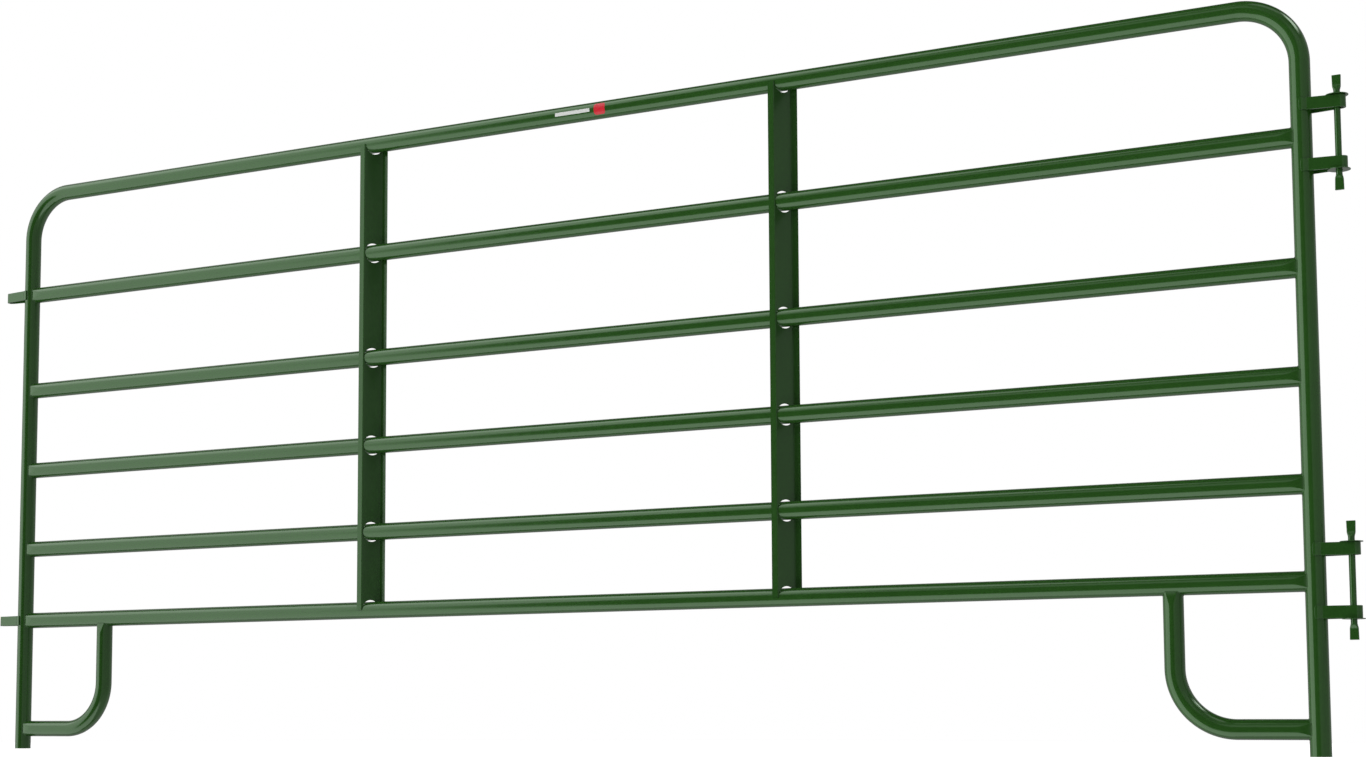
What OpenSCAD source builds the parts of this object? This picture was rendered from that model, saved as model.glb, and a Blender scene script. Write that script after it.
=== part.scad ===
// Six-rail livestock corral panel with pin-and-eye end connections.
// X runs along the panel, Y from the front to the back, Z up. The origin is on
// the ground, at the middle of the panel's length and depth.

/* [Panel] */
// Overall height, ground to the top of the top rail
panel_h = 1524; // [1200:1:1900]
// Distance between the centre lines of the two end posts
post_span = 3381; // [2400:1:3700]
// Drop from the top rail's centre line to rail 2's
gap_1 = 274.4; // [240:0.2:300]
// Drop from rail 2 to rail 3
gap_2 = 263; // [200:1:300]
// Drop from rail 3 to rail 4
gap_3 = 218; // [180:1:260]
// Drop from rail 4 to rail 5
gap_4 = 214; // [180:1:260]
// Drop from rail 5 to rail 6
gap_5 = 192; // [160:1:240]

/* [Tube] */
// Outside diameter of every tube (1-5/8 inch)
tube_d = 41.275; // [38:0.005:45]
// Wall thickness of every tube
tube_wall = 1; // [0.8:0.1:2]
// Centre-line radius of every tube bend
bend_r = 122; // [90:1:140]
// How deep each welded tube end is pressed in, front and back
press_depth = 6; // [3:0.5:8]
// Length of the pressed flats, measured from the saddle cut
press_len = 25; // [20:1:50]

/* [Leg loops] */
// Distance from a post's centre line to its leg loop's upright run
loop_reach = 280; // [200:1:350]
// Height of the leg loop's foot run, at its centre line
loop_foot_z = 53; // [30:1:90]

/* [Braces] */
// Distance of each brace from the middle of the span
brace_offset = 558.4; // [400:0.2:700]
// Overall depth of a brace, front face to back face
brace_depth = 45.6; // [45.2:0.2:52]
// Sideways offset of the web's back fold from its front fold
brace_slant = 23.2; // [16:0.1:26]
// Overall width of each brace flange
brace_flange = 14.2; // [12:0.1:20]
// Thickness of the brace sheet
brace_sheet = 1.5; // [1:0.1:3]
// Diameter of the rail holes and end notches in the web
brace_hole_d = 48.6; // [48:0.1:49]
// Height of each hole's centre above its rail's centre line
brace_hole_lift = 0.5; // [0:0.1:1]

/* [Straps] */
// Height of the flat bar that the straps are bent from
strap_h = 25; // [20:0.5:30]
// Thickness of the flat bar
strap_t = 4; // [3:0.25:5]
// Distance from a post's centre line to the centre of the strap's round end
strap_reach = 75.5; // [70:0.5:90]
// Inside radius of the strap's round end
strap_bend_r = 7.5; // [7:0.5:9]
// Angle between each strap leg and the panel's plane
strap_taper = 7.4; // [5:0.1:9]
// Where each strap end stops on the post, outboard of its centre line
strap_start = 2; // [1:0.5:12]
// Height of each pin strap above or below its rail's centre line
strap_rise = 61.7; // [45:0.1:80]

/* [Pins] */
// Distance from the post's centre line to the pin's axis
pin_reach = 70; // [65:0.5:75]
// Diameter of the pin's round shank (1/2 inch)
pin_d = 12.7; // [12:0.1:13]
// Overall length of a pin
pin_len = 232; // [220:1:250]
// Length of the flattened blade at each end
blade_len = 21; // [15:1:25]
// Length over which the round shank becomes the blade
blade_neck = 11; // [6:1:15]
// Thickness of the blade
blade_t = 5; // [3:0.5:6]
// Width of the blade at its tip
blade_tip_w = 17.5; // [16:0.1:21]
// Width of the blade where the neck meets it
blade_root_w = 16.5; // [15:0.1:18]

/* [Washers] */
// Outside diameter of a washer
washer_d = 44; // [38:1:46]
// Hole diameter of a washer
washer_hole_d = 14; // [13:0.1:15]
// Thickness of a washer
washer_t = 1.6; // [1.2:0.1:3]

/* [Label] */
// Length of the blank label on the top rail
label_len = 138; // [40:2:160]
// Distance of the label's middle from the middle of the span
label_offset = 43; // [0:1:200]
// Angle of the tube that the label wraps
label_wrap = 92; // [30:1:120]
// Thickness of the label
label_t = 0.3; // [0.2:0.1:0.5]

/* [Hidden] */

$fn = 64;

tube_r = tube_d / 2;
top_z = panel_h - tube_r;
rail_2_z = top_z - gap_1;
rail_3_z = rail_2_z - gap_2;
rail_4_z = rail_3_z - gap_3;
rail_5_z = rail_4_z - gap_4;
rail_6_z = rail_5_z - gap_5;
inner_rails_z = [rail_2_z, rail_3_z, rail_4_z, rail_5_z];

// The washers reach further out than the eyes, so the posts sit off centre
// by half the difference, and the origin stays at the middle of the whole.
strap_end = strap_reach + strap_bend_r + strap_t;
mid_x = (strap_end - pin_reach - washer_d / 2) / 2;
left_x = mid_x - post_span / 2;
right_x = mid_x + post_span / 2;
pin_x = right_x + pin_reach;

// A saddle cut meets the mating tube here, at the middle of a pressed flat.
seat_x = sqrt(pow(tube_r, 2) - pow(tube_r - press_depth, 2));
press_angle = atan(press_depth / press_len);

// Turn of a brace's web away from straight across the panel.
web_angle = atan(brace_slant / (brace_depth - brace_sheet));

// The legs sit this far inside the round end's tangent, so that the faces cross.
leg_sink = 0.05;

// The loose upper washers sit this far clear of their strap.
washer_gap = 0.2;
// Corner chamfer of the pin's blades.
blade_chamfer = 1;

powder_green = [0.15, 0.30, 0.11];
brace_green = [0.13, 0.24, 0.12];
label_green = [0.16, 0.32, 0.12];

// ---------------------------------------------------------------- tube pieces

module tube_profile() {
    difference() {
        circle(r = tube_r);
        circle(r = tube_r - tube_wall);
    }
}

module tube_along_z(z0, z1) {
    translate([0, 0, z0]) linear_extrude(z1 - z0) tube_profile();
}

// A quarter bend in the XZ plane, about the origin, from +X round to +Z.
module tube_bend() {
    rotate([90, 0, 0]) rotate_extrude(angle = 90) translate([bend_r, 0]) tube_profile();
}

// The round bar along +X from the origin, less the wedges that pressing takes
// from its front and back. inset moves the flats in, for the inside of a tube.
module pressed_bar(length, inset, press_far) {
    reach = 2 * press_len + tube_d;
    ends = press_far ? [0, 1] : [0];
    difference() {
        rotate([0, 90, 0]) cylinder(r = tube_r - inset, h = length);
        for (far = ends, side = [-1, 1])
            translate([far * length, 0, 0]) mirror([far, 0, 0])
                translate([seat_x, side * (tube_r - press_depth - inset), 0])
                    rotate([0, 0, side * press_angle])
                        translate([-reach / 2, side > 0 ? 0 : -tube_d, -tube_d])
                            cube([reach, tube_d, 2 * tube_d]);
    }
}

module pressed_tube(length, press_far = false) {
    difference() {
        pressed_bar(length, 0, press_far);
        pressed_bar(length, tube_wall, press_far);
    }
}

module post_envelope(x) {
    translate([x, 0, -1]) cylinder(r = tube_r, h = panel_h);
}

module frame_tube() {
    color(powder_green) union() {
        translate([left_x + bend_r, 0, top_z]) rotate([0, 90, 0])
            tube_along_z(0, post_span - 2 * bend_r);
        for (side = [-1, 1]) translate([mid_x + side * post_span / 2, 0, 0]) {
            tube_along_z(0, top_z - bend_r);
            translate([-side * bend_r, 0, top_z - bend_r])
                mirror([side < 0 ? 1 : 0, 0, 0]) tube_bend();
        }
    }
}

// A cross rail, pressed at both ends and saddle-cut to the posts.
module rail(z) {
    color(powder_green) difference() {
        translate([left_x, 0, z]) pressed_tube(post_span, true);
        post_envelope(left_x);
        post_envelope(right_x);
    }
}

module rail_2() { rail(rail_2_z); }
module rail_3() { rail(rail_3_z); }
module rail_4() { rail(rail_4_z); }
module rail_5() { rail(rail_5_z); }
module rail_6() { rail(rail_6_z); }

// The bent tube between a post's foot and rail 6, drawn for the left post.
module leg_loop() {
    difference() {
        union() {
            translate([0, 0, loop_foot_z]) pressed_tube(loop_reach - bend_r);
            translate([loop_reach, 0, rail_6_z]) rotate([0, 90, 0])
                pressed_tube(rail_6_z - loop_foot_z - bend_r);
            translate([loop_reach - bend_r, 0, loop_foot_z + bend_r])
                mirror([0, 0, 1]) tube_bend();
        }
        post_envelope(0);
        translate([0, 0, rail_6_z]) rotate([0, 90, 0])
            cylinder(r = tube_r, h = loop_reach + tube_d);
    }
}

module leg_loop_left() {
    color(powder_green) translate([left_x, 0, 0]) leg_loop();
}

module leg_loop_right() {
    color(powder_green) translate([right_x, 0, 0]) mirror([1, 0, 0]) leg_loop();
}

// --------------------------------------------------------------------- braces

// A folded Z: flanges parallel to the panel, front and back, and a web that
// slants between their folds.
module z_section() {
    fold = [brace_slant / 2, brace_depth / 2];
    // The web's other face meets the flange's outer face this far past the fold.
    lap = brace_sheet * (1 - sin(web_angle)) / cos(web_angle);
    polygon([
        [-fold.x - brace_flange, -fold.y], [-fold.x, -fold.y],
        [fold.x, fold.y - brace_sheet], [fold.x + brace_flange, fold.y - brace_sheet],
        [fold.x + brace_flange, fold.y], [fold.x - lap, fold.y],
        [-fold.x - lap, brace_sheet - fold.y], [-fold.x - brace_flange, brace_sheet - fold.y]]);
}

// A brace from rail 6's centre line up to the top rail's, with a round hole
// where each rail passes and a half-round notch over each end rail.
module brace(x) {
    color(brace_green) translate([x, 0, 0]) difference() {
        translate([0, 0, rail_6_z]) linear_extrude(top_z - rail_6_z) z_section();
        for (z = concat([rail_6_z, top_z], inner_rails_z))
            translate([0, 0, z + brace_hole_lift]) rotate([0, 90, -web_angle])
                cylinder(d = brace_hole_d, h = 4 * brace_sheet, center = true);
    }
}

module brace_left() { brace(mid_x - brace_offset); }
module brace_right() { brace(mid_x + brace_offset); }

// --------------------------------------------------------------------- straps

// The strap seen from above, offset outward by out: round the post, along two
// tapering legs and round the pin.
module strap_outline(out) {
    r = strap_bend_r + out;
    leg_r = r - leg_sink;
    root_y = (strap_reach * sin(strap_taper) + leg_r) / cos(strap_taper);
    tip_x = strap_reach + leg_r * sin(strap_taper);
    tip_y = leg_r * cos(strap_taper);
    circle(r = tube_r + out);
    translate([strap_reach, 0]) circle(r = r);
    polygon([[0, -root_y], [tip_x, -tip_y], [tip_x, tip_y], [0, root_y]]);
}

// A flat bar bent round a pin, drawn outboard of a post on the +X side, its
// ends hugging the front and back of the post.
module strap(z) {
    translate([0, 0, z - strap_h / 2]) linear_extrude(strap_h) intersection() {
        difference() {
            strap_outline(strap_t);
            strap_outline(0);
        }
        translate([strap_start, -tube_d]) square([strap_end, 2 * tube_d]);
    }
}

module eye_strap(z) {
    color(powder_green) translate([left_x, 0, 0]) mirror([1, 0, 0]) strap(z);
}

module pin_strap(z) {
    color(powder_green) translate([right_x, 0, 0]) strap(z);
}

module eye_strap_upper() { eye_strap(rail_2_z); }
module eye_strap_lower() { eye_strap(rail_6_z); }
module pin_strap_upper_top() { pin_strap(rail_2_z + strap_rise); }
module pin_strap_upper_bottom() { pin_strap(rail_2_z - strap_rise); }
module pin_strap_lower_top() { pin_strap(rail_6_z + strap_rise); }
module pin_strap_lower_bottom() { pin_strap(rail_6_z - strap_rise); }

// ----------------------------------------------------------- pins and washers

module washer(z) {
    color(powder_green) translate([pin_x, 0, z]) difference() {
        cylinder(d = washer_d, h = washer_t);
        translate([0, 0, -washer_t]) cylinder(d = washer_hole_d, h = 3 * washer_t);
    }
}

module upper_washer(rail_z) { washer(rail_z + strap_rise + strap_h / 2 + washer_gap); }
module lower_washer(rail_z) { washer(rail_z - strap_rise - strap_h / 2 - washer_t); }

module washer_upper_top() { upper_washer(rail_2_z); }
module washer_upper_bottom() { lower_washer(rail_2_z); }
module washer_lower_top() { upper_washer(rail_6_z); }
module washer_lower_bottom() { lower_washer(rail_6_z); }

// One forged end: the shank thins over the neck to a flat, flaring blade.
module blade(shank_half) {
    neck_z = shank_half + blade_neck;
    tip_z = neck_z + blade_len;
    pin_r = pin_d / 2;
    half_tip = blade_tip_w / 2;
    rotate([90, 0, 0]) translate([0, 0, -blade_t / 2]) linear_extrude(blade_t) polygon([
        [-pin_r, shank_half], [pin_r, shank_half], [blade_root_w / 2, neck_z],
        [half_tip, tip_z - blade_chamfer], [half_tip - blade_chamfer, tip_z],
        [blade_chamfer - half_tip, tip_z], [-half_tip, tip_z - blade_chamfer],
        [-blade_root_w / 2, neck_z]]);
    intersection() {
        translate([0, 0, shank_half]) cylinder(d = pin_d, h = blade_neck);
        rotate([90, 0, 90]) translate([0, 0, -pin_d]) linear_extrude(2 * pin_d) polygon([
            [-pin_r, shank_half], [pin_r, shank_half],
            [blade_t / 2, neck_z], [-blade_t / 2, neck_z]]);
    }
}

module pin(z) {
    shank_half = pin_len / 2 - blade_len - blade_neck;
    color(powder_green) translate([pin_x, 0, z]) union() {
        translate([0, 0, -shank_half]) cylinder(d = pin_d, h = 2 * shank_half);
        blade(shank_half);
        mirror([0, 0, 1]) blade(shank_half);
    }
}

module pin_upper() { pin(rail_2_z); }
module pin_lower() { pin(rail_6_z); }

// ---------------------------------------------------------------------- label

// A plain film wrapped on the front of the top rail.
module blank_label() {
    far = 2 * tube_d;
    spread = far * tan(label_wrap / 2);
    color(label_green) translate([mid_x + label_offset - label_len / 2, 0, top_z])
        rotate([90, 0, 90]) linear_extrude(label_len) intersection() {
            difference() {
                circle(r = tube_r + label_t);
                circle(r = tube_r);
            }
            polygon([[0, 0], [-far, -spread], [-far, spread]]);
        }
}

frame_tube();
rail_2();
rail_3();
rail_4();
rail_5();
rail_6();
brace_left();
brace_right();
leg_loop_left();
leg_loop_right();
eye_strap_upper();
eye_strap_lower();
pin_strap_upper_top();
pin_strap_upper_bottom();
pin_strap_lower_top();
pin_strap_lower_bottom();
washer_upper_top();
washer_upper_bottom();
washer_lower_top();
washer_lower_bottom();
pin_upper();
pin_lower();
blank_label();
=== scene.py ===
import math

import bmesh
import bpy
import numpy as np
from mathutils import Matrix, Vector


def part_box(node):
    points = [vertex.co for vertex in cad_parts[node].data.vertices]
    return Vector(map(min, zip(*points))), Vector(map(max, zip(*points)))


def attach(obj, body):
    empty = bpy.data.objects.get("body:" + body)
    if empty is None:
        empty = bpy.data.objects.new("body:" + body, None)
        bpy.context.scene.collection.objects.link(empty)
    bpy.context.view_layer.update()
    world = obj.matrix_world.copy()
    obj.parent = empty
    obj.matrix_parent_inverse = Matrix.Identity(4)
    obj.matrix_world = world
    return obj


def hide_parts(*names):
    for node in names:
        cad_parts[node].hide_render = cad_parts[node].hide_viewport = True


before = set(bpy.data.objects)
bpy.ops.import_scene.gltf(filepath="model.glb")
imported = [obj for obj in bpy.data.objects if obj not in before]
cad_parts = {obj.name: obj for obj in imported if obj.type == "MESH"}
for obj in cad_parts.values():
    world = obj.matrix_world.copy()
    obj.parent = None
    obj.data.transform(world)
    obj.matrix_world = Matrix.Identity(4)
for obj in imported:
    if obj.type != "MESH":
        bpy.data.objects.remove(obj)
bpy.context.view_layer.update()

# ------------------------------------------------------------ sizes, metres
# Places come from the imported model's boxes. What a box can't tell is here.
WALL = 0.001
BEND_R = 0.122
PRESS_DEPTH = 0.006
PRESS_LEN = 0.025
BRACE_FLANGE = 0.0142
BRACE_SHEET = 0.0015
BRACE_HOLE_R = 0.0243
BRACE_HOLE_LIFT = 0.0005
STRAP_T = 0.004
STRAP_REACH = 0.0755
STRAP_BEND_R = 0.0075
STRAP_TAPER = math.radians(7.4)
STRAP_START = 0.002
WASHER_HOLE_R = 0.007
PIN_R = 0.00635
BLADE_LEN = 0.021
BLADE_NECK = 0.011
BLADE_T = 0.005
BLADE_ROOT_W = 0.0165
BLADE_TIP_W = 0.0175
WELD_R = 0.0012
TACK_R = 0.0019
FILM_FROM, FILM_TO = -0.00005, 0.00012  # the label's film, off the tube's surface
INK_FROM, INK_TO = 0.00005, 0.00020  # the print on it, off the same surface
LABEL_T = 0.0003
FLOOR_Z = -0.0005
FLOOR_R = 3.6

AROUND = 128  # points round a tube

frame_lo, frame_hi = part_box("frame_tube")
TUBE_R = (frame_hi.y - frame_lo.y) / 2
LEFT_X, RIGHT_X = frame_lo.x + TUBE_R, frame_hi.x - TUBE_R
TOP_Z = frame_hi.z - TUBE_R
RAILS = ["rail_2", "rail_3", "rail_4", "rail_5", "rail_6"]


def middle(node):
    lo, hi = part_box(node)
    return (lo + hi) / 2


rail_z = {name: middle(name).z for name in RAILS}
PIN_X = middle("pin_upper").x


# --------------------------------------------------------------- materials

def node_maker(tree):
    """add(type, {socket: value or another node's output}, **settings) -> node."""
    def add(kind, inputs=None, **settings):
        node = tree.nodes.new(kind)
        for key, value in settings.items():
            setattr(node, key, value)
        for key, value in (inputs or {}).items():
            if isinstance(value, bpy.types.NodeSocket):
                tree.links.new(value, node.inputs[key])
            else:
                node.inputs[key].default_value = value
        return node
    return add


def powder_coat(name, base, rough=0.11, peel=0.000012):
    """Baked powder coat: mottled colour, uneven gloss, and orange peel in the bump."""
    material = bpy.data.materials.new(name)
    material.use_nodes = True
    tree = material.node_tree
    add = node_maker(tree)
    shader = tree.nodes["Principled BSDF"]
    place = add("ShaderNodeTexCoord").outputs["Object"]

    cloud = add("ShaderNodeTexNoise",
                {"Vector": place, "Scale": 7.0, "Detail": 4.0, "Roughness": 0.55})
    fine = add("ShaderNodeTexNoise",
               {"Vector": place, "Scale": 55.0, "Detail": 3.0, "Roughness": 0.6})
    mixed = add("ShaderNodeMath", {0: cloud.outputs["Fac"], 1: fine.outputs["Fac"]},
                operation="ADD")
    share = add("ShaderNodeMapRange",
                {"Value": mixed.outputs[0], "From Min": 0.7, "From Max": 1.3})
    ramp = add("ShaderNodeValToRGB", {"Fac": share.outputs["Result"]})
    low, high = ramp.color_ramp.elements
    low.color = [c * 0.95 for c in base] + [1]
    high.color = [c * 1.05 for c in base] + [1]
    tree.links.new(ramp.outputs["Color"], shader.inputs["Base Color"])

    gloss = add("ShaderNodeMapRange",
                {"Value": fine.outputs["Fac"], "From Min": 0.3, "From Max": 0.7,
                 "To Min": rough - 0.02, "To Max": rough + 0.03})
    tree.links.new(gloss.outputs["Result"], shader.inputs["Roughness"])

    skin = add("ShaderNodeTexNoise",
               {"Vector": place, "Scale": 300.0, "Detail": 2.0, "Roughness": 0.5})
    bump = add("ShaderNodeBump",
               {"Height": skin.outputs["Fac"], "Strength": 0.6, "Distance": peel})
    tree.links.new(bump.outputs["Normal"], shader.inputs["Normal"])

    shader.inputs["Metallic"].default_value = 0.0
    shader.inputs["IOR"].default_value = 1.5
    shader.inputs["Specular IOR Level"].default_value = 1.0
    shader.inputs["Specular Tint"].default_value = (0.75, 1.0, 0.74, 1)
    return material


coat_tube = powder_coat("powder_coat_tube", (0.027, 0.104, 0.0145))
coat_brace = powder_coat("powder_coat_brace", (0.026, 0.100, 0.0145), rough=0.14)
coat_strap = powder_coat("powder_coat_strap", (0.026, 0.104, 0.0145), rough=0.13)
coat_washer = powder_coat("powder_coat_washer", (0.026, 0.100, 0.0145), rough=0.15)
coat_pin = powder_coat("powder_coat_pin", (0.025, 0.104, 0.0140), rough=0.13)
coat_weld = powder_coat("powder_coat_weld", (0.025, 0.098, 0.0135), rough=0.18, peel=0.00002)


def print_ink(name, base, rough):
    """Printed ink on the label: faint grain in its colour and gloss."""
    material = bpy.data.materials.new(name)
    material.use_nodes = True
    tree = material.node_tree
    add = node_maker(tree)
    shader = tree.nodes["Principled BSDF"]
    place = add("ShaderNodeTexCoord").outputs["Object"]
    grain = add("ShaderNodeTexNoise", {"Vector": place, "Scale": 300.0, "Detail": 3.0})
    ramp = add("ShaderNodeValToRGB", {"Fac": grain.outputs["Fac"]})
    low, high = ramp.color_ramp.elements
    low.color = [c * 0.93 for c in base] + [1]
    high.color = [c * 1.04 for c in base] + [1]
    tree.links.new(ramp.outputs["Color"], shader.inputs["Base Color"])
    gloss = add("ShaderNodeMapRange",
                {"Value": grain.outputs["Fac"], "To Min": rough - 0.05, "To Max": rough + 0.08})
    tree.links.new(gloss.outputs["Result"], shader.inputs["Roughness"])
    bump = add("ShaderNodeBump",
               {"Height": grain.outputs["Fac"], "Strength": 0.3, "Distance": 0.00002})
    tree.links.new(bump.outputs["Normal"], shader.inputs["Normal"])
    return material


film_green = powder_coat("label_film_green", (0.027, 0.104, 0.0145), rough=0.12)
film_white = print_ink("label_print_white", (0.90, 0.92, 0.89), 0.3)
film_red = print_ink("label_print_red", (0.80, 0.018, 0.036), 0.2)


# ------------------------------------------------------------- mesh making

def join(parts):
    """Several (points, faces) parts as one (points, edges, faces) for from_pydata."""
    points, faces = [], []
    for part_points, part_faces in parts:
        faces.extend(tuple(i + len(points) for i in face) for face in part_faces)
        points.extend(tuple(p) for p in part_points)
    return points, [], faces


def face_outward(mesh):
    shell = bmesh.new()
    shell.from_mesh(mesh)
    bmesh.ops.recalc_face_normals(shell, faces=shell.faces)
    shell.to_mesh(mesh)
    shell.free()


def piece(name, parts, body, material, nodes=(), sharp=38):
    """One object from (points, faces) parts, shaded smooth up to the sharp angle."""
    mesh = bpy.data.meshes.new(name)
    mesh.from_pydata(*join(parts))
    face_outward(mesh)
    return finish_piece(name, mesh, body, material, nodes, sharp)


def finish_piece(name, mesh, body, material, nodes=(), sharp=38):
    mesh.polygons.foreach_set("use_smooth", [True] * len(mesh.polygons))
    mesh.set_sharp_from_angle(angle=math.radians(sharp))
    mesh.materials.clear()
    mesh.materials.append(material)
    mesh.update()
    obj = bpy.data.objects.new(name, mesh)
    bpy.context.scene.collection.objects.link(obj)
    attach(obj, body)
    if nodes:
        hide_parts(*nodes)
    return obj


def loft(rings, wrap=False):
    """Quads between successive rings, joined last to first if wrap, else capped."""
    n, count = len(rings[0]), len(rings)
    faces = []
    for i in range(count if wrap else count - 1):
        a, b = i * n, (i + 1) % count * n
        faces += [(a + j, a + (j + 1) % n, b + (j + 1) % n, b + j) for j in range(n)]
    if not wrap:
        faces += [tuple(range(n))[::-1], tuple(range((count - 1) * n, count * n))]
    return [p for ring in rings for p in ring], faces


def smoothstep(x, low, high):
    t = min(max((x - low) / (high - low), 0), 1)
    return t * t * (3 - 2 * t)


def bead(path, radius, closed=False):
    """A rippled weld bead along a path of points; an open one tapers at its ends."""
    pitch, ripple = 0.0024, 0.13
    path = np.array(path, float)
    step = np.linalg.norm(np.diff(np.vstack([path, path[:1]]) if closed else path, axis=0), axis=1)
    total = step.sum()
    count = max(8, int(total / 0.0007))
    marks = np.concatenate([[0], np.cumsum(step)])
    loop = np.vstack([path, path[:1]]) if closed else path
    where = np.linspace(0, total, count, endpoint=not closed)
    spine = np.stack([np.interp(where, marks, loop[:, i]) for i in range(3)], axis=1)
    if closed:
        ahead, behind = np.roll(spine, -1, 0), np.roll(spine, 1, 0)
    else:
        ahead, behind = np.vstack([spine[1:], spine[-1:]]), np.vstack([spine[:1], spine[:-1]])
    tangent = ahead - behind
    tangent /= np.linalg.norm(tangent, axis=1)[:, None]
    out = spine - spine.mean(0) if closed else np.tile([0.31, 0.52, 0.79], (count, 1))
    out = out - tangent * (out * tangent).sum(1)[:, None]
    out /= np.linalg.norm(out, axis=1)[:, None]
    across = np.cross(tangent, out)
    waves = max(1, round(total / pitch))
    rings = []
    for i in range(count):
        share = where[i] / total
        r = radius * (1 + ripple * math.sin(2 * math.pi * waves * share) - ripple)
        if not closed:
            r *= math.sqrt(max(0.03, 1 - abs(2 * share - 1) ** 6))
        rings.append([spine[i] + r * (math.cos(a) * out[i] + math.sin(a) * across[i])
                      for a in np.linspace(0, 2 * math.pi, 12, endpoint=False)])
    return loft(rings, wrap=closed)


# ----------------------------------------------------------------- tubes

def route(corners, radius, breaks=()):
    """Stations along a path in the XZ plane: (x, z, tangent x, tangent z, distance).
    Interior corners are rounded, and straight runs get the extra breaks."""
    corners = [np.array(c, float) for c in corners]
    runs = []
    start = corners[0]
    for i in range(1, len(corners)):
        before = corners[i] - corners[i - 1]
        before /= np.linalg.norm(before)
        if i == len(corners) - 1:
            runs.append(("line", start, corners[i]))
            break
        after = corners[i + 1] - corners[i]
        after /= np.linalg.norm(after)
        arc_in, arc_out = corners[i] - before * radius, corners[i] + after * radius
        runs.append(("line", start, arc_in))
        runs.append(("arc", arc_in, before, after))
        start = arc_out
    stations, done = [], 0.0
    for run in runs:
        if run[0] == "line":
            length = np.linalg.norm(run[2] - run[1])
            t = (run[2] - run[1]) / length
            marks = sorted({0.0, *(b - done for b in breaks if 0 < b - done < length - 1e-4),
                            *np.linspace(0, length, 12)[1:-1]})
            for mark in marks:
                stations.append((*(run[1] + t * mark), *t, done + mark))
            done += length
            last = (*run[2], *t, done)
        else:
            _, point, t_in, t_out = run
            steps = 36
            for k in range(steps):
                a = math.pi / 2 * k / steps
                t = t_in * math.cos(a) + t_out * math.sin(a)
                offset = t_in * radius * math.sin(a) + t_out * radius * (1 - math.cos(a))
                stations.append((*(point + offset), *t, done + radius * a))
            done += radius * math.pi / 2
    stations.append(last)
    return stations


def soft_min(a, b, blend=0.0007):
    return (a + b - math.sqrt((a - b) ** 2 + blend ** 2)) / 2


def tube_ring(station, radius, inset=0.0, start=None, end=None, length=0.0):
    """A ring of a tube. start and end say that the tube is pressed and saddle-cut there."""
    x, z, tx, tz, s = station
    ring = []
    for k in range(AROUND):
        angle = 2 * math.pi * k / AROUND
        y, h, shift = radius * math.cos(angle), radius * math.sin(angle), 0.0
        for pressed, away, sign in ((start, s, 1), (end, length - s, -1)):
            if not pressed or away > PRESS_LEN + 3 * TUBE_R:
                continue
            seat = math.sqrt(TUBE_R ** 2 - (TUBE_R - PRESS_DEPTH) ** 2)
            limit = TUBE_R - PRESS_DEPTH - inset + (away - seat) * PRESS_DEPTH / PRESS_LEN
            y = math.copysign(soft_min(abs(y), limit), y)
            fade = 1 - smoothstep(away, TUBE_R, TUBE_R + PRESS_LEN)
            shift += sign * (math.sqrt(TUBE_R ** 2 - y * y) - TUBE_R) * fade
        ring.append((x + tx * shift + tz * h, y, z + tz * shift - tx * h))
    return ring


def welded_tube(corners):
    """A tube whose two ends are pressed and saddle-cut where it meets other tubes.
    Returns its parts, and the outline of each saddle for a weld bead."""
    length = route(corners, BEND_R)[-1][-1]
    near = [TUBE_R + 0.0015 * k for k in range(30)]
    breaks = near + [length - b for b in near]
    stations = [s for s in route(corners, BEND_R, breaks)
                if TUBE_R - 1e-6 <= s[-1] <= length - TUBE_R + 1e-6]
    ends = dict(start=True, end=True, length=length)
    outer = [tube_ring(s, TUBE_R, 0.0, **ends) for s in stations]
    inner = [tube_ring(s, TUBE_R - WALL, WALL, **ends) for s in reversed(stations)]
    return loft(outer + inner, wrap=True), outer[0], outer[-1]


def frame_tube_part():
    """The hooped end-post and top-rail tube, open at both feet."""
    corners = [(LEFT_X, 0), (LEFT_X, TOP_Z), (RIGHT_X, TOP_Z), (RIGHT_X, 0)]
    lip = 0.0003
    stations = route(corners, BEND_R, breaks=[lip])
    last = stations[-1]
    stations.insert(-1, (last[0], lip, last[2], last[3], last[4] - lip))
    eased = [lip if i in (0, len(stations) - 1) else 0 for i in range(len(stations))]
    outer = [tube_ring(s, TUBE_R - ease) for s, ease in zip(stations, eased)]
    inner = [tube_ring(s, TUBE_R - WALL + ease) for s, ease in zip(reversed(stations), eased)]
    return loft(outer + inner, wrap=True)


def tube_with_welds(name, corners, ends):
    """A welded tube, with a bead round each of its two named ends."""
    tube, *edges = welded_tube(corners)
    piece("tube_" + name, [tube], "panel", coat_tube, [name])
    for end, edge in zip(ends, edges):
        piece(f"weld_{name}_{end}", [bead(edge, WELD_R, closed=True)],
              "panel", coat_weld)


piece("tube_end_posts_and_top", [frame_tube_part()],
      "panel", coat_tube, ["frame_tube"])

for name in RAILS:
    z = rail_z[name]
    tube_with_welds(name, [(LEFT_X, z), (RIGHT_X, z)], ("left", "right"))

for side, post_x in (("left", LEFT_X), ("right", RIGHT_X)):
    name = "leg_loop_" + side
    lo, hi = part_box(name)
    foot_z = lo.z + TUBE_R
    upright_x = hi.x - TUBE_R if side == "left" else lo.x + TUBE_R
    tube_with_welds(name, [(post_x, foot_z), (upright_x, foot_z), (upright_x, rail_z["rail_6"])],
                    ("foot", "top"))


# ---------------------------------------------------------------- braces

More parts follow.
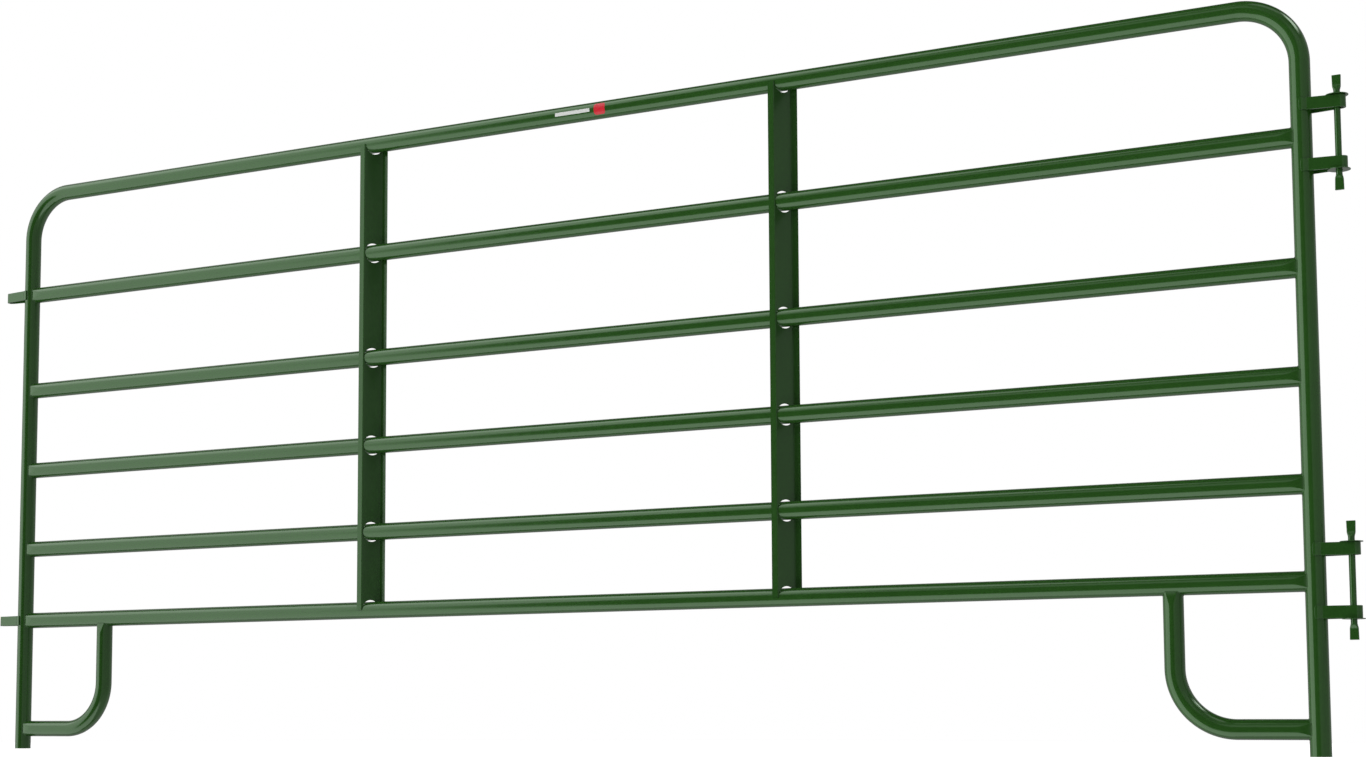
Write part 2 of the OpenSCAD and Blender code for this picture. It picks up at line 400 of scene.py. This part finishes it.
def brace_outline(slant, depth):
    """The folded Z section, with rounded folds, as a closed line of (x, y)."""
    half, radius, flat = BRACE_SHEET / 2, 0.0018, 0.0006
    lean = math.atan(slant / (depth - BRACE_SHEET))
    lap = BRACE_SHEET * (1 - math.sin(lean)) / math.cos(lean)
    turn = math.pi / 2 - lean
    level = depth / 2 - half
    tip = slant / 2 + BRACE_FLANGE
    spine = [((-tip, -level), 0.0), ((-tip + 2 * flat, -level), 0.0)]
    for side in (-1, 1):
        corner = np.array((side * slant / 2 - lap / 2, side * level))
        along = (1.0, 0.0) if side < 0 else (math.cos(turn), math.sin(turn))
        begin = corner - radius * math.tan(turn / 2) * np.array(along)
        heading = 0.0 if side < 0 else turn
        centre = begin - side * radius * np.array((-math.sin(heading), math.cos(heading)))
        spine.append((begin - flat * np.array(along), heading))
        for k in range(9):
            a = heading - side * turn * k / 8
            spine.append((centre + side * radius * np.array((-math.sin(a), math.cos(a))), a))
        spine.append((spine[-1][0] + flat * np.array((math.cos(a), math.sin(a))), a))
    spine += [((tip - 2 * flat, level), 0.0), ((tip, level), 0.0)]
    one = [(p[0] - half * math.sin(a), p[1] + half * math.cos(a)) for p, a in spine]
    other = [(p[0] + half * math.sin(a), p[1] - half * math.cos(a)) for p, a in reversed(spine)]
    return one + other


def brace(name):
    """A folded sheet with a hole for each rail, and a half-round notch at each end."""
    lo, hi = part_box(name)
    x, depth = (lo.x + hi.x) / 2, hi.y - lo.y
    slant = hi.x - lo.x - 2 * BRACE_FLANGE
    lean = math.atan(slant / (depth - BRACE_SHEET))
    c, s = math.cos(lean), math.sin(lean)

    def on_web(out, along, z):
        return (x + out * c + along * s, -out * s + along * c, z)

    outline = brace_outline(slant, depth)
    mesh = bpy.data.meshes.new(name)
    mesh.from_pydata(*join([loft([[(x + u, v, z) for u, v in outline] for z in (lo.z, hi.z)])]))
    rails = [TOP_Z, *rail_z.values()]
    circle = [(BRACE_HOLE_R * math.cos(a), BRACE_HOLE_R * math.sin(a) + BRACE_HOLE_LIFT)
              for a in np.linspace(0, 2 * math.pi, 120, endpoint=False)]
    cutter_mesh = bpy.data.meshes.new("cutter")
    cutter_mesh.from_pydata(*join([
        loft([[on_web(out, v, z + h) for v, h in circle] for out in (-0.004, 0.004)])
        for z in rails]))
    for m in (mesh, cutter_mesh):
        face_outward(m)
    blank = bpy.data.objects.new("blank", mesh)
    cutter = bpy.data.objects.new("cutter", cutter_mesh)
    for obj in (blank, cutter):
        bpy.context.scene.collection.objects.link(obj)
    cut = blank.modifiers.new("cut", "BOOLEAN")
    cut.operation, cut.solver, cut.object = "DIFFERENCE", "EXACT", cutter
    ease = blank.modifiers.new("ease", "BEVEL")
    ease.width, ease.segments = 0.0003, 1
    ease.limit_method, ease.angle_limit = "ANGLE", math.radians(50)
    bpy.context.view_layer.update()
    graph = bpy.context.evaluated_depsgraph_get()
    made = bpy.data.meshes.new_from_object(blank.evaluated_get(graph))
    bpy.data.objects.remove(blank)
    bpy.data.objects.remove(cutter)
    finish_piece("sheet_" + name, made, "panel", coat_brace, [name], sharp=30)
    # Short tacks at the back of each hole, on the web's -X side.
    reach = (TUBE_R / c + BRACE_HOLE_R) / 2
    tacks = []
    for z in rails:
        low, high = (-34, -4) if z == TOP_Z else (4, 34) if z == rail_z["rail_6"] else (-17, 17)
        arc = [on_web(-0.0012, reach * math.cos(a), z + reach * math.sin(a))
               for a in np.radians(np.linspace(low, high, 12))]
        tacks.append(bead(arc, TACK_R))
    piece(f"welds_{name}", tacks, "panel", coat_weld)


brace("brace_left")
brace("brace_right")


# ---------------------------------------------------------------- straps

def strap_spine():
    """The middle line of a strap seen from above, drawn on the +X side of a post:
    (point, outward normal) from the front end round the pin to the back end."""
    mid = STRAP_T / 2
    hug, turn, valley = TUBE_R + mid, STRAP_BEND_R + mid, 0.008
    taper = STRAP_TAPER
    offset = STRAP_REACH * math.sin(taper) + turn
    valley_x = math.sqrt((hug + valley) ** 2 - (offset + valley) ** 2)
    meet = math.atan2(offset + valley, valley_x)
    first = math.acos(STRAP_START / (TUBE_R + STRAP_T))
    half = []
    for a in np.linspace(first, meet - taper, 8):
        half.append(((hug * math.cos(a), hug * math.sin(a)), (math.cos(a), math.sin(a))))

    def turned(px, py):
        c, s = math.cos(taper), math.sin(taper)
        return (px * c + py * s, -px * s + py * c)

    for a in np.linspace(meet, math.pi / 2, 9)[1:]:
        direction = (math.cos(a), math.sin(a))
        point = (valley_x - valley * direction[0], offset + valley - valley * direction[1])
        half.append((turned(*point), turned(*direction)))
    half.append((turned(STRAP_REACH * math.cos(taper) * 0.6, offset), turned(0, 1)))
    for a in np.linspace(math.pi / 2 - taper, 0, 20):
        half.append(((STRAP_REACH + turn * math.cos(a), turn * math.sin(a)),
                     (math.cos(a), math.sin(a))))
    front = [((p[0], -p[1]), (n[0], -n[1])) for p, n in half]
    return front + half[-2::-1]


def rounded_rectangle(half_a, half_b, radius, steps=4):
    """A closed outline with a short straight beside each corner, so flats shade flat."""
    points = []
    for k, (sa, sb) in enumerate(((1, 1), (-1, 1), (-1, -1), (1, -1))):
        corner = np.array((sa * (half_a - radius), sb * (half_b - radius)))
        turned = [np.array((math.cos(a), math.sin(a))) for a in
                  (math.pi / 2 * (k + j / steps) for j in range(steps + 1))]
        before, after = (np.array((v[1], -v[0])) * radius * 0.5 for v in (turned[0], -turned[-1]))
        points += [tuple(corner + radius * turned[0] + before)]
        points += [tuple(corner + radius * v) for v in turned]
        points += [tuple(corner + radius * turned[-1] + after)]
    return points


def strap(name):
    lo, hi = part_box(name)
    z, half_h = (lo.z + hi.z) / 2, (hi.z - lo.z) / 2
    post_x, out = (LEFT_X, -1) if name.startswith("eye") else (RIGHT_X, 1)
    spine = strap_spine()
    rings = []
    for index, (p, n) in enumerate(spine):
        shrink = 0.0004 if index in (0, len(spine) - 1) else 0.0
        section = rounded_rectangle(STRAP_T / 2 - shrink, half_h - shrink, 0.0008)
        rings.append([(post_x + out * (p[0] + n[0] * a), p[1] + n[1] * a, z + b)
                      for a, b in section])
    piece("bar_" + name, [loft(rings)], "panel", coat_strap, [name])
    beads = []
    a = math.acos(STRAP_START / (TUBE_R + STRAP_T)) + 0.02
    seat = TUBE_R + 0.0004
    for side in (-1, 1):
        line = [(post_x + out * seat * math.cos(a), side * seat * math.sin(a), z + h)
                for h in np.linspace(-half_h + 0.002, half_h - 0.002, 12)]
        beads.append(bead(line, WELD_R))
    piece("welds_" + name, beads, "panel", coat_weld)


for name in ("eye_strap_upper", "eye_strap_lower", "pin_strap_upper_top", "pin_strap_upper_bottom",
             "pin_strap_lower_top", "pin_strap_lower_bottom"):
    strap(name)


# ------------------------------------------------------ washers and pins

def washer(name, body):
    lo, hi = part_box(name)
    centre, outer, half_t = (lo + hi) / 2, (hi.x - lo.x) / 2, (hi.z - lo.z) / 2
    section = rounded_rectangle((outer - WASHER_HOLE_R) / 2, half_t, 0.0004, steps=3)
    mid_r = (outer + WASHER_HOLE_R) / 2
    rings = []
    for angle in np.linspace(0, 2 * math.pi, 96, endpoint=False):
        c, s = math.cos(angle), math.sin(angle)
        rings.append([(centre.x + (mid_r + a) * c, (mid_r + a) * s, centre.z + b)
                      for a, b in section])
    piece("disc_" + name, [loft(rings, wrap=True)], body, coat_washer, [name])


washer("washer_upper_top", "upper_washer")
washer("washer_lower_top", "lower_washer")
washer("washer_upper_bottom", "panel")
washer("washer_lower_bottom", "panel")


def pin(name, body):
    """A round rod whose two ends are forged flat: the shank thins to a flaring blade."""
    lo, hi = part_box(name)
    z, half_len = (lo.z + hi.z) / 2, (hi.z - lo.z) / 2
    shank, neck = half_len - BLADE_LEN - BLADE_NECK, half_len - BLADE_LEN
    levels = [0, shank * 0.5, shank - 0.001]
    levels += [shank + BLADE_NECK * k / 14 for k in range(15)]
    levels += [neck + (half_len - 0.0014 - neck) * k / 6 for k in range(1, 7)]
    levels += [half_len - back for back in (0.001, 0.0006, 0.0003, 0.0001, 0)]
    levels = [-level for level in reversed(levels[1:])] + levels
    rings = []
    for level in levels:
        h = abs(level)
        press = smoothstep(h, shank - 0.001, neck + 0.002)
        flare = (h - neck) / BLADE_LEN if h > neck else 0
        wide = PIN_R + (BLADE_ROOT_W / 2 - PIN_R) * smoothstep(h, shank, neck)
        wide += (BLADE_TIP_W - BLADE_ROOT_W) / 2 * flare
        thick = PIN_R + (BLADE_T / 2 - PIN_R) * press
        round_off = max(0.0, h - (half_len - 0.001)) / 0.001
        ease = 0.0009 * (1 - math.sqrt(max(0.0, 1 - round_off ** 2)))
        wide, thick = wide - ease, thick - ease
        power = 2 + 6 * press
        ring = []
        for a in np.linspace(0, 2 * math.pi, 96, endpoint=False):
            c, s = math.cos(a), math.sin(a)
            ring.append((PIN_X + wide * math.copysign(abs(c) ** (2 / power), c),
                         thick * math.copysign(abs(s) ** (2 / power), s), z + level))
        rings.append(ring)
    piece("rod_" + name, [loft(rings)], body, coat_pin, [name], sharp=50)


pin("pin_upper", "upper_pin")
pin("pin_lower", "lower_pin")


# ---------------------------------------------------------------- label

def tube_patch(x0, x1, low, high, under, over, corner):
    """A closed film on the front of the top rail, with rounded corners. low and high
    are heights along the tube's surface from its foremost line. under and over are the
    film's two faces, off that surface."""
    inner, outer = TUBE_R + under, TUBE_R + over
    centre_x, centre_s = (x0 + x1) / 2, (low + high) / 2
    half_x, straight = (x1 - x0) / 2 - corner, (high - low) / 2 - corner
    turns = np.linspace(0, math.pi / 2, 10)
    upper = [(straight + corner * math.sin(a), half_x + corner * math.cos(a)) for a in turns]
    flat = np.linspace(-straight, straight, max(3, int(straight / 0.0004)))[1:-1]
    rows = [(-b, wide) for b, wide in reversed(upper)]
    rows += [(b, half_x + corner) for b in flat] + upper
    rings = []
    for b, wide in rows:
        phi = (centre_s + b) / TUBE_R
        rings.append([(centre_x + a, -r * math.cos(phi), TOP_Z + r * math.sin(phi))
                      for a, r in ((-wide, outer), (wide, outer), (wide, inner), (-wide, inner))])
    return loft(rings)


label_lo, label_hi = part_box("blank_label")
label_x0, label_x1 = label_lo.x, label_hi.x
label_half = TUBE_R * math.asin((label_hi.z - TOP_Z) / (TUBE_R + LABEL_T))
bar_end = label_x0 + (label_x1 - label_x0) * 0.70
for name, patch, material, nodes in (
        ("label_blank", tube_patch(label_x0, label_x1, -label_half, label_half,
                                   FILM_FROM, FILM_TO, 0.002), film_green, ["blank_label"]),
        ("label_plain_bar", tube_patch(label_x0 + 0.003, bar_end, -0.0055, 0.003,
                                       INK_FROM, INK_TO, 0.0008), film_white, ()),
        ("label_plain_mark", tube_patch(label_x1 - 0.0298, label_x1 - 0.0004, -0.0155, 0.0125,
                                        INK_FROM, INK_TO, 0.006), film_red, ())):
    piece(name, [patch], "panel", material, nodes)


# ---------------------------------------------------------------- studio

def floor():
    """A pale round studio floor, which is seen but doesn't light the panel."""
    rings = []
    for r in (0.01, 1.0, 2.0, 3.0, FLOOR_R):
        rings.append([(r * math.cos(a), r * math.sin(a), FLOOR_Z)
                      for a in np.linspace(0, 2 * math.pi, 96, endpoint=False)])
    points, faces = loft(rings)
    mesh = bpy.data.meshes.new("studio_floor")
    mesh.from_pydata(points, [], faces[:-1])
    material = bpy.data.materials.new("studio_floor")
    material.use_nodes = True
    shader = material.node_tree.nodes["Principled BSDF"]
    shader.inputs["Base Color"].default_value = (0.82, 0.82, 0.82, 1)
    shader.inputs["Roughness"].default_value = 0.9
    shader.inputs["Specular IOR Level"].default_value = 0.0
    shader.inputs["Emission Color"].default_value = (1, 1, 1, 1)
    shader.inputs["Emission Strength"].default_value = 0.75
    mesh.materials.append(material)
    obj = bpy.data.objects.new("studio_floor", mesh)
    obj.visible_glossy = False
    obj.visible_diffuse = False
    bpy.context.scene.collection.objects.link(obj)


def studio():
    """White surroundings for the view, and soft panels of light around the object."""
    world = bpy.data.worlds.new("studio")
    bpy.context.scene.world = world
    world.use_nodes = True
    tree = world.node_tree
    tree.nodes.clear()
    add = node_maker(tree)
    way = add("ShaderNodeSeparateXYZ", {0: add("ShaderNodeTexCoord").outputs["Generated"]})
    x, y, z = way.outputs

    def maths(operation, a, b=0.0):
        return add("ShaderNodeMath", {0: a, 1: b}, operation=operation).outputs[0]

    turn = maths("DEGREES", maths("ARCTAN2", x, maths("MULTIPLY", y, -1.0)))
    rise = maths("DEGREES", maths("ARCSINE", z))

    def ramp(value, start, full):
        return add("ShaderNodeMapRange", {"Value": value, "From Min": start, "From Max": full},
                   interpolation_type="SMOOTHSTEP").outputs["Result"]

    def panel(strength, turn_from, turn_to, rise_from, rise_to, soft=(3, 3, 5, 5)):
        """A soft-edged panel of light between two bearings (0 is the front, + is the
        pin end) and two heights, all in degrees."""
        mask = maths("MULTIPLY", ramp(turn, turn_from - soft[0], turn_from + soft[0]),
                     ramp(turn, turn_to + soft[1], turn_to - soft[1]))
        mask = maths("MULTIPLY", mask, ramp(rise, rise_from - soft[2], rise_from + soft[2]))
        mask = maths("MULTIPLY", mask, ramp(rise, rise_to + soft[3], rise_to - soft[3]))
        return maths("MULTIPLY", mask, strength)

    light = 0.03  # from everywhere
    for one in (
            panel(1.25, -86, -33.5, -75, 66, (9, 3, 5, 5)),       # the main bank, on the left
            panel(0.62, -98, -50, 30, 65, (8, 6, 4, 5)),          # its brighter upper part
            panel(0.42, -128, -86, -25, 50, (8, 9, 5, 6)),
            panel(0.32, -36, -8, 26, 44, (3, 8, 5, 6)),
            panel(0.12, -36, 60, 30, 66),
            panel(0.65, -12, 110, 66, 86, (8, 20, 4, 6)),         # overhead strip
            panel(1.20, -33.5, 38, -80, -31, (3, 14, 5, 7)),      # bounce from the floor in front
            panel(4.20, 82, 128, 46, 64, (7, 8, 5, 4)),           # small bank, high on the right
            panel(0.24, 14, 126, -70, 40, (5, 5, 5, 8)),
            panel(0.08, 45, 126, -90, -22, (12, 5, 5, 8)),
            panel(0.36, 126, 200, -90, 45, (6, 0.1, 5, 12)),
            panel(0.10, 126, 200, -90, -15, (6, 0.1, 5, 8)),
            panel(0.34, -200, -128, -25, 45, (0.1, 8, 5, 12)),
            panel(0.44, -200, -86, -90, -25, (0.1, 9, 5, 5))):
        light = maths("ADD", one, light)
    soft_light = add("ShaderNodeBackground", {"Color": (1, 1, 1, 1), "Strength": light})
    white = add("ShaderNodeBackground", {"Color": (1, 1, 1, 1), "Strength": 1.0})
    seen = add("ShaderNodeLightPath").outputs["Is Camera Ray"]
    both = add("ShaderNodeMixShader", {0: seen, 1: soft_light.outputs[0], 2: white.outputs[0]})
    add("ShaderNodeOutputWorld", {"Surface": both.outputs[0]})


def fill():
    """A wide soft light from the left front, for the matt part of the coats only."""
    data = bpy.data.lights.new("fill", "SUN")
    data.energy, data.angle = 0.62, math.radians(80)
    obj = bpy.data.objects.new("fill", data)
    obj.rotation_euler = (math.radians(80), 0, math.radians(-30))
    obj.visible_glossy = False
    bpy.context.scene.collection.objects.link(obj)


floor()
studio()
fill()

camera_data = bpy.data.cameras.new("camera")
camera_data.lens = 60.75
camera_data.sensor_width = 36.0
camera_data.shift_x = 0.0952
camera_data.shift_y = 0.0926
camera_data.clip_end = 200.0
camera = bpy.data.objects.new("camera", camera_data)
camera.location = (2.6848, -4.6386, 0.0604)
camera.rotation_euler = (math.radians(95.47), 0.0, math.radians(30.46))
bpy.context.scene.collection.objects.link(camera)
bpy.context.scene.camera = camera
bpy.context.scene.view_settings.view_transform = "Standard"

bpy.context.view_layer.update()
